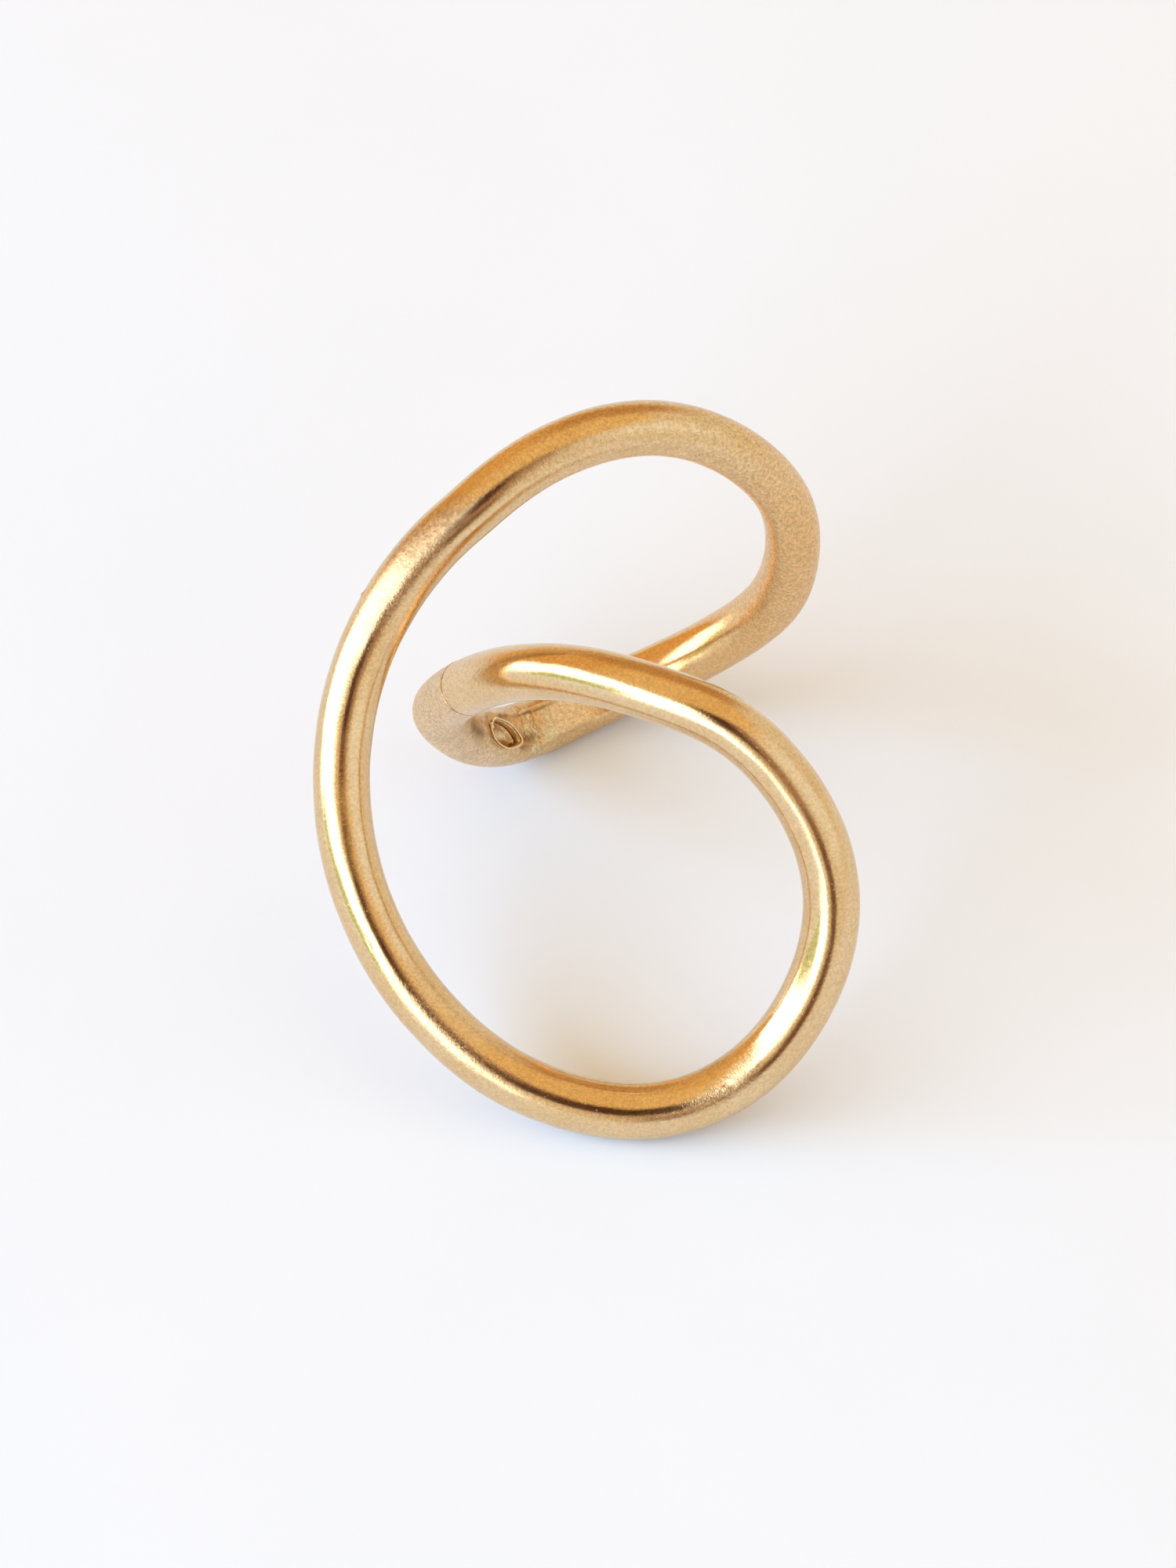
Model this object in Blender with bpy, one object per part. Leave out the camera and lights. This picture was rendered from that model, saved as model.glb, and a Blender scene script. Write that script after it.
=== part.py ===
"""Sculptural finger ring: one closed run of hollow gold-brass tube, made of a long bent tube
(the face loop) and a short flattened tube (the shank), soldered end to end at two joints.
The shank has an oval opening with a thin rim on the side that touches the finger.

Frame: metres, +Z up, resting on the plane z = 0, -Y towards the viewer, +X to the right.
The origin is the bottom centre of the ring's bounding box.
"""

import math

import bmesh
import bpy
import numpy as np
from mathutils import Vector

MM = 0.001

# ---- driving dimensions, in millimetres ------------------------------------------------
TUBE_RADIUS = 1.60          # outside radius of the round tube of the face loop
WALL = 0.45                 # wall of both tubes
RISER_SCALE = 0.94          # the tube is drawn slightly thinner where it rises behind the finger

# Shank section: a flat towards the finger, thinner outside, slightly wider along the finger.
SHANK_FLAT_HEIGHT = 1.22    # from the centreline to the flat that faces the finger
SHANK_OUTER_HALF = 1.45     # half thickness on the far side
SHANK_HALF_WIDTH = 1.68     # half width along the finger
FLAT_EDGE = 0.05            # how softly the flat meets the round sides

# A line through the space that the finger takes: a point on it and its direction.
FINGER_POINT = (4.1, 21.6, 10.1)
FINGER_DIRECTION = (-0.40, 0.66, 0.63)

# Centreline of the closed run, in order round the ring: near end of the face loop, right
# arm, over the finger, curl, shank under the finger, right riser, far end, left arm.
CENTRELINE = [
    (2.5, -0.1, 1.6),
    (7.9, 0.7, 3.0),
    (11.5, 2.7, 6.4),
    (13.2, 5.1, 10.8),
    (12.4, 7.7, 15.7),
    (8.8, 10.4, 19.9),
    (4.3, 12.3, 21.3),
    (-0.3, 14.5, 20.8),
    (-4.6, 17.4, 17.8),
    (-7.5, 20.4, 13.0),
    (-8.0, 23.1, 8.6),
    (-6.5, 25.6, 4.6),
    (-3.9, 28.2, 2.1),
    (-0.3, 30.9, 1.6),
    (4.6, 32.4, 3.1),
    (9.3, 32.1, 7.3),
    (11.1, 30.5, 12.9),
    (10.9, 29.3, 18.9),
    (8.1, 28.3, 24.1),
    (3.1, 27.0, 27.3),
    (-2.5, 24.8, 27.2),
    (-6.4, 22.7, 25.2),
    (-9.5, 20.9, 22.6),
    (-12.6, 17.3, 18.0),
    (-13.4, 11.8, 13.0),
    (-11.6, 6.8, 8.7),
    (-8.3, 3.4, 5.3),
    (-3.7, 1.0, 2.7),
]

# Where things sit on the centreline, in control point numbers with a fraction between.
FLATTEN_START = 9.3         # the outer side starts to change from round to the shank's
FLATTEN_FULL = 10.9
FLATTEN_HOLD = 12.5
FLATTEN_END = 13.6
FLAT_START = 10.6           # the flat towards the finger: where it starts and is full
FLAT_FULL = 11.1
FLAT_HOLD = 12.9            # and where it starts to fade and has gone
FLAT_END = 14.1
RISER_FROM = 15.3           # where the slightly thinner stretch begins and ends
RISER_TO = 19.8
CURL_SEAM = 8.65           # solder joint at the curl
SHANK_SEAM = 11.98          # solder joint under the finger
OPENING = 11.37             # middle of the oval opening

# Oval opening in the finger side of the shank.
OPENING_LONG = 2.90
OPENING_SHORT = 1.50
OPENING_TURN = 7.5          # degrees from the tube's own direction
OPENING_ANGLE = 7.0         # degrees round the tube from the line that faces the finger
RIM_WIDTH = 0.18
RIM_HEIGHT = 0.12

# Solder joints: a ring of solder in the gap, and a thin collar over the tube ends.
SEAM_GAP = 0.26             # length of solder between the two tube ends
CLEARANCE = 0.012           # air left between pieces so that each stays its own solid
COLLAR_HALF = 0.20          # collar reach on each side of the middle, plain side
PATCH_HALF = 0.55           # collar reach on the finger side of the shank joint
COLLAR_LIFT = 0.03
PATCH_LIFT = 0.10

# ---- mesh resolution --------------------------------------------------------------------
AROUND = 24                 # sides of the tube
STEP = 1.40                 # station spacing along the tube
FINE_STEP = 0.35            # spacing near a joint or the opening


def clear_scene():
    for obj in list(bpy.data.objects):
        bpy.data.objects.remove(obj, do_unlink=True)


class ClosedRun:
    """A smooth closed curve through the control points, measured by its own length."""

    def __init__(self, points, samples_per_span=60):
        knots = np.array(points, dtype=float)
        count = len(knots)
        second = self._second_derivatives(knots)
        pieces = []
        a = np.linspace(0.0, 1.0, samples_per_span, endpoint=False)[:, None]
        b = 1.0 - a
        for i in range(count):
            j = (i + 1) % count
            cubic = (b ** 3 - b) * second[i] + (a ** 3 - a) * second[j]
            pieces.append(b * knots[i] + a * knots[j] + cubic / 6.0)
        fine = np.concatenate(pieces)
        self.loop = np.concatenate([fine, fine[:1]])
        step = np.linalg.norm(np.diff(self.loop, axis=0), axis=1)
        self.length = float(step.sum())
        self.at = np.concatenate([[0.0], np.cumsum(step)])
        self.samples_per_span = samples_per_span

    @staticmethod
    def _second_derivatives(knots):
        """Second derivatives at the control points of the closed cubic spline through them."""
        count = len(knots)
        matrix = np.zeros((count, count))
        right = np.zeros((count, 3))
        for i in range(count):
            before, after = (i - 1) % count, (i + 1) % count
            matrix[i, before] = 1.0
            matrix[i, i] = 4.0
            matrix[i, after] = 1.0
            right[i] = 6.0 * (knots[after] - 2.0 * knots[i] + knots[before])
        return np.linalg.solve(matrix, right)

    def distance_of(self, number):
        """Distance along the run of a control point number."""
        return float(np.interp(number * self.samples_per_span, np.arange(len(self.at)), self.at))

    def point(self, distance):
        d = distance % self.length
        return np.array([np.interp(d, self.at, self.loop[:, k]) for k in range(3)])

    def tangent(self, distance):
        ahead = self.point(distance + 0.05) - self.point(distance - 0.05)
        return ahead / np.linalg.norm(ahead)


def smooth_step(value, start, end):
    t = min(max((value - start) / (end - start), 0.0), 1.0)
    return t * t * (3.0 - 2.0 * t)


RUN = ClosedRun(CENTRELINE)
FLATTEN = [RUN.distance_of(n) for n in (FLATTEN_START, FLATTEN_FULL, FLATTEN_HOLD, FLATTEN_END)]
FLAT = [RUN.distance_of(n) for n in (FLAT_START, FLAT_FULL, FLAT_HOLD, FLAT_END)]
RISER = [RUN.distance_of(n) for n in (RISER_FROM, RISER_TO)]


def finger_side(distance):
    """Direction across the tube that points to the finger."""
    point = RUN.point(distance)
    tangent = RUN.tangent(distance)
    along = np.array(FINGER_DIRECTION) / np.linalg.norm(FINGER_DIRECTION)
    to_axis = np.array(FINGER_POINT) - point
    to_axis -= along * to_axis.dot(along)
    to_axis -= tangent * to_axis.dot(tangent)
    return to_axis / np.linalg.norm(to_axis)


def zone(distance, edges):
    """0 outside the four edges, 1 between the inner two, smooth in between."""
    rise = smooth_step(distance, edges[0], edges[1])
    return rise * (1.0 - smooth_step(distance, edges[2], edges[3]))


def section_sizes(distance):
    """Plain radius, height of the flat, half thickness away from the finger, half width."""
    d = distance % RUN.length
    middle = 0.5 * (RISER[0] + RISER[1])
    thin = zone(d, (RISER[0], middle, middle, RISER[1]))
    radius = TUBE_RADIUS * (1.0 - (1.0 - RISER_SCALE) * thin)
    shank = zone(d, FLATTEN)
    flat = radius + 3.0 * FLAT_EDGE + (SHANK_FLAT_HEIGHT - radius - 3.0 * FLAT_EDGE) * zone(d, FLAT)
    outer = radius + (SHANK_OUTER_HALF - radius) * shank
    width = radius + (SHANK_HALF_WIDTH - radius) * shank
    return radius, flat, outer, width


def surface_point(distance, angle, lift):
    """Point of the tube's surface; angle 0 faces the finger, lift is height above the surface."""
    side = finger_side(distance)
    across = np.cross(RUN.tangent(distance), side)
    radius, flat, outer, width = section_sizes(distance)
    c, s = math.cos(angle), math.sin(angle)
    if c > 0.0:
        towards = c * (radius + lift)
        over = (towards - flat - lift) / FLAT_EDGE
        towards -= FLAT_EDGE * math.log1p(math.exp(min(over, 60.0)))
    else:
        towards = c * (outer + lift)
    return RUN.point(distance) + side * towards + across * s * (width + lift)


def ring_of(distance, lift, count=AROUND):
    return [surface_point(distance, 2.0 * math.pi * k / count, lift) for k in range(count)]


def mesh_object(name, rings, material, closed_along):
    """Joins rings of points into a skin; the last ring joins the first when closed_along."""
    mesh = bpy.data.meshes.new(name)
    build = bmesh.new()
    rows = [[build.verts.new(Vector(p) * MM) for p in ring] for ring in rings]
    pairs = len(rows) if closed_along else len(rows) - 1
    for i in range(pairs):
        a, b = rows[i], rows[(i + 1) % len(rows)]
        for k in range(len(a)):
            n = (k + 1) % len(a)
            build.faces.new((a[k], a[n], b[n], b[k]))
    bmesh.ops.recalc_face_normals(build, faces=build.faces)
    build.to_mesh(mesh)
    build.free()
    for polygon in mesh.polygons:
        polygon.use_smooth = True
    mesh.materials.append(material)
    obj = bpy.data.objects.new(name, mesh)
    bpy.context.scene.collection.objects.link(obj)
    return obj


def metal(name, colour, roughness):
    material = bpy.data.materials.new(name)
    material.use_nodes = True
    shader = material.node_tree.nodes["Principled BSDF"]
    shader.inputs["Base Color"].default_value = (*colour, 1.0)
    shader.inputs["Metallic"].default_value = 1.0
    shader.inputs["Roughness"].default_value = roughness
    return material


# ---- tubes -------------------------------------------------------------------------------

CURL_AT = RUN.distance_of(CURL_SEAM)
SHANK_AT = RUN.distance_of(SHANK_SEAM)
OPENING_AT = RUN.distance_of(OPENING)
HALF_JOINT = SEAM_GAP / 2.0 + CLEARANCE


def stations(start, end, fine_zones):
    """Distances from start to end, closer together inside the fine zones."""
    found = [start]
    while found[-1] < end:
        here = found[-1]
        near = any(low <= here <= high for low, high in fine_zones)
        found.append(here + (FINE_STEP if near else STEP))
    found[-1] = end
    if found[-1] - found[-2] < 0.4 * FINE_STEP:
        found.pop(-2)
    return found


def tube(name, start, end, fine_zones, material):
    """An open length of hollow tube: the outside, round the end, and back along the bore."""
    places = stations(start, end, fine_zones)
    outside = [ring_of(d, 0.0) for d in places]
    bore = [ring_of(d, -WALL) for d in reversed(places)]
    return mesh_object(name, outside + bore, material, closed_along=True)


def apply_cut(target, cutter):
    cut = target.modifiers.new("opening", "BOOLEAN")
    cut.operation = "DIFFERENCE"
    cut.solver = "EXACT"
    cut.object = cutter


def opening_outline(grow, count):
    """Points (along the tube, across it) of the oval opening, made larger by grow."""
    turn = math.radians(OPENING_TURN)
    points = []
    for k in range(count):
        angle = 2.0 * math.pi * k / count
        u = (OPENING_LONG / 2.0 + grow) * math.cos(angle)
        v = (OPENING_SHORT / 2.0 + grow) * math.sin(angle)
        points.append((u * math.cos(turn) - v * math.sin(turn),
                       u * math.sin(turn) + v * math.cos(turn)))
    return points


def finger_face_point(along, across, lift):
    """Point of the shank's finger side, measured from the middle of the opening."""
    distance = OPENING_AT + along
    width = section_sizes(distance)[3] + lift
    angle = math.asin(max(-1.0, min(1.0, across / width)))
    return surface_point(distance, angle + math.radians(OPENING_ANGLE), lift)


def opening_cutter():
    """An oval plug from the middle of the bore out through the finger side of the wall."""
    rings = []
    for depth in (0.9, -(WALL + 0.35)):
        rings.append([finger_face_point(u, v, depth) for u, v in opening_outline(0.0, 32)])
    material = metal("cutter", (0.5, 0.5, 0.5), 0.5)
    cutter = mesh_object("opening_cutter", rings, material, closed_along=False)
    build = bmesh.new()
    build.from_mesh(cutter.data)
    edges = [e for e in build.edges if e.is_boundary]
    bmesh.ops.holes_fill(build, edges=edges, sides=0)
    bmesh.ops.recalc_face_normals(build, faces=build.faces)
    build.to_mesh(cutter.data)
    build.free()
    cutter.hide_render = True
    cutter.display_type = "WIRE"
    return cutter


def rim(name, material):
    """A thin rounded bead round the opening, lying on the finger side of the shank."""
    outline = opening_outline(RIM_WIDTH * 0.65, 36)
    lower = CLEARANCE
    rings = []
    for k in range(len(outline)):
        u0, v0 = outline[k - 1]
        u, v = outline[k]
        u1, v1 = outline[(k + 1) % len(outline)]
        out = Vector((v1 - v0, -(u1 - u0))).normalized()
        ring = []
        for j in range(8):
            angle = 2.0 * math.pi * j / 8
            off = RIM_WIDTH / 2.0 * math.cos(angle)
            high = lower + RIM_HEIGHT / 2.0 * (1.0 + math.sin(angle))
            ring.append(finger_face_point(u + out.x * off, v + out.y * off, high))
        rings.append(ring)
    return mesh_object(name, rings, material, closed_along=True)


def solder_joint(name, middle, patch_half, patch_lift, material):
    """Solder between two tube ends, with a thin collar that is longer on the finger side."""
    neck = SEAM_GAP / 2.0
    rings = []
    for k in range(AROUND):
        angle = 2.0 * math.pi * k / AROUND
        facing = smooth_step(math.cos(angle), 0.2, 0.95)
        ripple = 1.0 + 0.18 * math.sin(3.0 * angle + 0.7) + 0.12 * math.sin(7.0 * angle)
        reach = COLLAR_HALF + (patch_half * ripple - COLLAR_HALF) * facing
        height = COLLAR_LIFT + (patch_lift * ripple - COLLAR_LIFT) * facing
        profile = [
            (-neck, -WALL), (neck, -WALL), (neck, CLEARANCE), (reach, CLEARANCE),
            (0.85 * reach, CLEARANCE + 0.6 * height), (0.4 * reach, CLEARANCE + height),
            (-0.4 * reach, CLEARANCE + height), (-0.85 * reach, CLEARANCE + 0.6 * height),
            (-reach, CLEARANCE), (-neck, CLEARANCE),
        ]
        rings.append([surface_point(middle + u, angle, lift) for u, lift in profile])
    return mesh_object(name, rings, material, closed_along=True)


def rest_on_floor(objects):
    """Moves the pieces so that their common box stands on z = 0, centred on the origin."""
    corners = np.array([vertex.co for obj in objects for vertex in obj.data.vertices])
    low, high = corners.min(axis=0), corners.max(axis=0)
    shift = Vector((-(low[0] + high[0]) / 2.0, -(low[1] + high[1]) / 2.0, -low[2]))
    for obj in objects:
        obj.location = shift
    return shift


def main():
    clear_scene()
    loop_metal = metal("face_loop_gold_brass", (0.83, 0.60, 0.30), 0.22)
    shank_metal = metal("shank_gold_brass", (0.80, 0.58, 0.31), 0.30)
    solder_metal = metal("solder_pale_gold", (0.72, 0.62, 0.42), 0.40)
    rim_metal = metal("rim_bright_gold", (0.90, 0.74, 0.45), 0.18)

    near_curl = (CURL_AT - 1.3, CURL_AT + 1.3)
    near_shank = (SHANK_AT - 1.3, SHANK_AT + 1.3)
    near_opening = (OPENING_AT - 1.9, OPENING_AT + 1.9)
    turn = RUN.length

    face_loop = tube(
        "face_loop_tube", SHANK_AT + HALF_JOINT, CURL_AT + turn - HALF_JOINT,
        [near_shank, (near_curl[0] + turn, near_curl[1] + turn)], loop_metal)
    shank = tube(
        "shank_tube", CURL_AT + HALF_JOINT, SHANK_AT - HALF_JOINT,
        [near_curl, near_shank, near_opening], shank_metal)
    cutter = opening_cutter()
    apply_cut(shank, cutter)
    curl_joint = solder_joint("curl_solder_joint", CURL_AT, COLLAR_HALF, COLLAR_LIFT, solder_metal)
    shank_joint = solder_joint(
        "shank_solder_joint", SHANK_AT, PATCH_HALF, PATCH_LIFT, solder_metal)
    opening_rim = rim("opening_rim", rim_metal)

    pieces = [face_loop, shank, curl_joint, shank_joint, opening_rim]
    shift = rest_on_floor(pieces)
    cutter.location = shift


main()
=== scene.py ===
"""Looks for the sculptural tube ring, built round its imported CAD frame.

Each CAD node gets one finely meshed piece: two hollow tubes swept along the ring's
centreline, the solder at their two joints, and the bead round the oval opening.
The ring is in millimetres until a mesh is made, and the studio is in metres. Places
along the run are control point numbers, with fractions between two points.
"""

import math

import bmesh
import bpy
import numpy as np
from mathutils import Matrix, Vector, noise


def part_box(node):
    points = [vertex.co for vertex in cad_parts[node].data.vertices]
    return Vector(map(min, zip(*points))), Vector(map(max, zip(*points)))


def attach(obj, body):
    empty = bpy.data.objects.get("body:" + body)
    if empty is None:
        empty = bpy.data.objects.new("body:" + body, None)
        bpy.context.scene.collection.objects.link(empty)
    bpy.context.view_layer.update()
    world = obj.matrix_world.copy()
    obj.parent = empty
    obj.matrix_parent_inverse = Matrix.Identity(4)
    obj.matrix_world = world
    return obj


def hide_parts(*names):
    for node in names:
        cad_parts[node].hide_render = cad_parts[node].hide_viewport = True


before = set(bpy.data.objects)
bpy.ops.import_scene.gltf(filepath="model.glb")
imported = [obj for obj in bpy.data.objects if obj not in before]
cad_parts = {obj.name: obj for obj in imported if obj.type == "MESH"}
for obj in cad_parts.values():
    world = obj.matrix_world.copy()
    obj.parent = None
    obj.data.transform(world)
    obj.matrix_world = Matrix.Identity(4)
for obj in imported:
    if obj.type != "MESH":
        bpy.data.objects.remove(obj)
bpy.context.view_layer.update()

MM = 0.001
FULL_TURN = 2.0 * math.pi

# ---- the run of tube, as in the CAD source ---------------------------------------------
# The section is a hair smaller than the CAD's, so that nothing leaves the CAD's box.
TUBE_RADIUS = 1.578
WALL = 0.45
RISER_SCALE = 0.94
SHANK_FLAT_HEIGHT = 1.200
SHANK_OUTER_HALF = 1.430
SHANK_HALF_WIDTH = 1.655
FLAT_EDGE = 0.03
FINGER_POINT = (4.1, 21.6, 10.1)
FINGER_DIRECTION = (-0.40, 0.66, 0.63)

CENTRELINE = [
    (2.5, -0.1, 1.6),
    (7.9, 0.7, 3.0),
    (11.5, 2.7, 6.4),
    (13.2, 5.1, 10.8),
    (12.4, 7.7, 15.7),
    (8.8, 10.4, 19.9),
    (4.3, 12.3, 21.3),
    (-0.3, 14.5, 20.8),
    (-4.6, 17.4, 17.8),
    (-7.5, 20.4, 13.0),
    (-8.0, 23.1, 8.6),
    (-6.5, 25.6, 4.6),
    (-3.9, 28.2, 2.1),
    (-0.3, 30.9, 1.6),
    (4.6, 32.4, 3.1),
    (9.3, 32.1, 7.3),
    (11.1, 30.5, 12.9),
    (10.9, 29.3, 18.9),
    (8.1, 28.3, 24.1),
    (3.1, 27.0, 27.3),
    (-2.5, 24.8, 27.2),
    (-6.4, 22.7, 25.2),
    (-9.5, 20.9, 22.6),
    (-12.6, 17.3, 18.0),
    (-13.4, 11.8, 13.0),
    (-11.6, 6.8, 8.7),
    (-8.3, 3.4, 5.3),
    (-3.7, 1.0, 2.7),
]
COUNT = len(CENTRELINE)

FLATTEN_NUMBERS = (9.3, 10.9, 12.5, 13.6)
FLAT_NUMBERS = (10.6, 11.1, 12.9, 14.1)
RISER_NUMBERS = (15.3, 19.8)
CURL_SEAM = 8.65
SHANK_SEAM = 11.98
HALF_GAP = 0.130
END_GAP = 0.012             # air between a tube's end and the solder

OPENING = 11.37
OPENING_LONG = 2.90
OPENING_SHORT = 1.50
OPENING_TURN = 7.5          # degrees from the tube
OPENING_ANGLE = 7.0         # degrees round the tube from the finger side

# ---- mesh detail and small forms -------------------------------------------------------
LOOP_STEP = 0.19
LOOP_SIDES = 128
SHANK_STEP = 0.09
SHANK_SIDES = 144
BORE_STEP = 0.4
END_EASE = 0.012            # the tube ends are rounded down by this much
END_EASE_REACH = 0.05
WAVE_ALLOWANCE = 0.011      # keeps the tops of the waves about level with the plain tube

FILL_REACH = (-2.4, -1.9, 2.4, 2.6)     # solder in the bore, from the middle of the opening
FILL_TOP = 0.69             # its height from the centreline, towards the finger
NO_FILL = -2.0              # a height below the whole tube

CUT_SIDES = 96
CUT_ABOVE = 0.9             # how far the cutter stands over the wall's surface
CUT_BELOW = WALL + 0.35     # and how far it goes in, which makes the pocket's floor

BEAD_STEPS = 144
BEAD_SIDES = 20
BEAD_GROW = 0.085           # from the edge of the opening to the middle of the bead
BEAD_HALF = 0.066
BEAD_HEIGHT = 0.052
BEAD_FOOT = 0.014
BEAD_GIRTH = 0.6            # texture length once round its section
SPUR_PLACE = 3.35           # the torn spur on the bead, in radians round the opening
SPUR_SPREAD = 0.14
SPUR_LENGTH = 0.16

BAND_SIDES = 224
BAND_RINGS = 27
BAND_REACH = 0.185          # from the middle of a joint to the edge of its solder
BAND_FOOT = 0.003           # its edge stands over the tube by this much

# ---- camera and table ------------------------------------------------------------------
CAMERA_PITCH = math.radians(46.0)       # the camera looks along +Y and down by this angle
TO_CAMERA = np.array([0.0, -math.cos(CAMERA_PITCH), math.sin(CAMERA_PITCH)])
CAMERA_TARGET = (0.0, 14.72, 12.0)
CAMERA_DISTANCE = 1.5
CAMERA_SENSOR = 36.0
VIEW_WIDTH = 64.378         # millimetres that the camera sees across at its target

FLOOR_RADII = (0.05, 0.15, 0.4, 0.9, 1.6, 1.95, 2.0)
FLOOR_DROP = 0.01
FLOOR_SIDES = 96

# ---- colours ---------------------------------------------------------------------------
WARM_GOLD = (0.80, 0.50, 0.22)
FRECKLE_BROWN = (0.50, 0.33, 0.19)
SOLDER_FILM = (0.70, 0.66, 0.40)
# Brown of the tarnish patches, which also paint shade in the hollow by the opening and along the
# flat's edges.
TARNISH_AND_SHADE_BROWN = (0.25, 0.135, 0.05)
# Brown of the rubbed patch at the top left, which paints shade over the window's reflection.
SCUFF_AND_SHADE_BROWN = (0.36, 0.235, 0.13)
# Deep orange painted into the bore as its shade, seen through the opening.
BORE_PAINTED_SHADE = (0.64, 0.29, 0.04)
PAPER_COOL = (0.842, 0.880, 0.904)
PAPER_LIGHT = (0.852, 0.888, 0.912)
DOME_LOW = (0.90, 0.82, 0.66)
DOME_HIGH = (0.95, 0.67, 0.31)
WINDOW_LIGHT = (3.3, 3.4, 3.7)
BACKDROP = (0.915, 0.925, 0.94)
SOFTBOX_LIGHT = (0.15, 0.50, 1.00)


def unit(vectors):
    return vectors / np.linalg.norm(vectors, axis=-1, keepdims=True)


def smooth_step(value, start, end):
    t = np.clip((value - start) / (end - start), 0.0, 1.0)
    return t * t * (3.0 - 2.0 * t)


def turn_from(angle, middle):
    """Signed angle from the middle, between minus and plus half a turn."""
    return np.mod(angle - middle + math.pi, FULL_TURN) - math.pi


class ClosedRun:
    """The closed cubic spline through the control points, measured by its own length."""

    def __init__(self, points, samples_per_span=160):
        knots = np.array(points, dtype=float)
        count = len(knots)
        matrix = np.zeros((count, count))
        right = np.zeros((count, 3))
        for i in range(count):
            before, after = (i - 1) % count, (i + 1) % count
            matrix[i, before] = 1.0
            matrix[i, i] = 4.0
            matrix[i, after] = 1.0
            right[i] = 6.0 * (knots[after] - 2.0 * knots[i] + knots[before])
        second = np.linalg.solve(matrix, right)
        a = np.linspace(0.0, 1.0, samples_per_span, endpoint=False)[:, None]
        b = 1.0 - a
        spans = []
        for i in range(count):
            j = (i + 1) % count
            cubic = (b ** 3 - b) * second[i] + (a ** 3 - a) * second[j]
            spans.append(b * knots[i] + a * knots[j] + cubic / 6.0)
        fine = np.concatenate(spans)
        self.loop = np.concatenate([fine, fine[:1]])
        step = np.linalg.norm(np.diff(self.loop, axis=0), axis=1)
        self.at = np.concatenate([[0.0], np.cumsum(step)])
        self.length = float(self.at[-1])
        self.numbers = np.arange(len(self.at)) / samples_per_span

    def distance_of(self, number):
        return float(np.interp(number, self.numbers, self.at))

    def number_of(self, distance):
        return np.interp(np.mod(distance, self.length), self.at, self.numbers)

    def point(self, distance):
        d = np.mod(distance, self.length)
        return np.stack([np.interp(d, self.at, self.loop[:, k]) for k in range(3)], axis=-1)

    def tangent(self, distance):
        return unit(self.point(distance + 0.05) - self.point(distance - 0.05))


RUN = ClosedRun(CENTRELINE)
FLATTEN = [RUN.distance_of(n) for n in FLATTEN_NUMBERS]
FLAT = [RUN.distance_of(n) for n in FLAT_NUMBERS]
RISER = [RUN.distance_of(n) for n in RISER_NUMBERS]
CURL_AT = RUN.distance_of(CURL_SEAM)
SHANK_AT = RUN.distance_of(SHANK_SEAM)
OPENING_AT = RUN.distance_of(OPENING)


def section_axes(distance):
    """Across the tube: the direction to the finger, and the one beside it."""
    tangent = RUN.tangent(distance)
    along = np.array(FINGER_DIRECTION) / np.linalg.norm(FINGER_DIRECTION)
    to_axis = np.array(FINGER_POINT) - RUN.point(distance)
    to_axis = to_axis - (to_axis @ along)[..., None] * along
    to_axis = to_axis - np.sum(to_axis * tangent, axis=-1, keepdims=True) * tangent
    side = unit(to_axis)
    return side, np.cross(tangent, side)


def zone(distance, edges):
    """0 outside the four edges, 1 between the inner two, smooth in between."""
    rise = smooth_step(distance, edges[0], edges[1])
    return rise * (1.0 - smooth_step(distance, edges[2], edges[3]))


def section_sizes(distance):
    """Plain radius, height of the flat, half thickness away from the finger, half width."""
    d = np.mod(distance, RUN.length)
    middle = 0.5 * (RISER[0] + RISER[1])
    thin = zone(d, (RISER[0], middle, middle, RISER[1]))
    radius = TUBE_RADIUS * (1.0 - (1.0 - RISER_SCALE) * thin)
    shank = zone(d, FLATTEN)
    clear = radius + 3.0 * FLAT_EDGE
    flat = clear + (SHANK_FLAT_HEIGHT - clear) * zone(d, FLAT)
    outer = radius + (SHANK_OUTER_HALF - radius) * shank
    width = radius + (SHANK_HALF_WIDTH - radius) * shank
    return radius, flat, outer, width


def surface(distance, angle, lift, level=NO_FILL):
    """Points of the tube's surface; nothing reaches further from the finger than level."""
    distance, angle, lift = np.broadcast_arrays(distance, angle, lift)
    side, across = section_axes(distance)
    radius, flat, outer, width = section_sizes(distance)
    c, s = np.cos(angle), np.sin(angle)
    near = c * (radius + lift)
    over = np.minimum((near - flat - lift) / FLAT_EDGE, 60.0)
    near = near - FLAT_EDGE * np.log1p(np.exp(over))
    towards = np.maximum(np.where(c > 0.0, near, c * (outer + lift)), level)
    beside = s * (width + lift)
    return RUN.point(distance) + side * towards[..., None] + across * beside[..., None]


def camera_angle(distance, offset_degrees):
    """Angle round the tube at an offset from the camera line, positive to the right."""
    side, across = section_axes(np.asarray(distance))
    tangent = RUN.tangent(np.asarray(distance))
    right = unit(np.cross(tangent, TO_CAMERA))
    facing = unit(np.cross(right, tangent))
    turn = math.radians(offset_degrees)
    way = facing * math.cos(turn) + right * math.sin(turn)
    return float(np.arctan2(np.sum(way * across), np.sum(way * side)))


# ---- surface marks ---------------------------------------------------------------------

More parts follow.
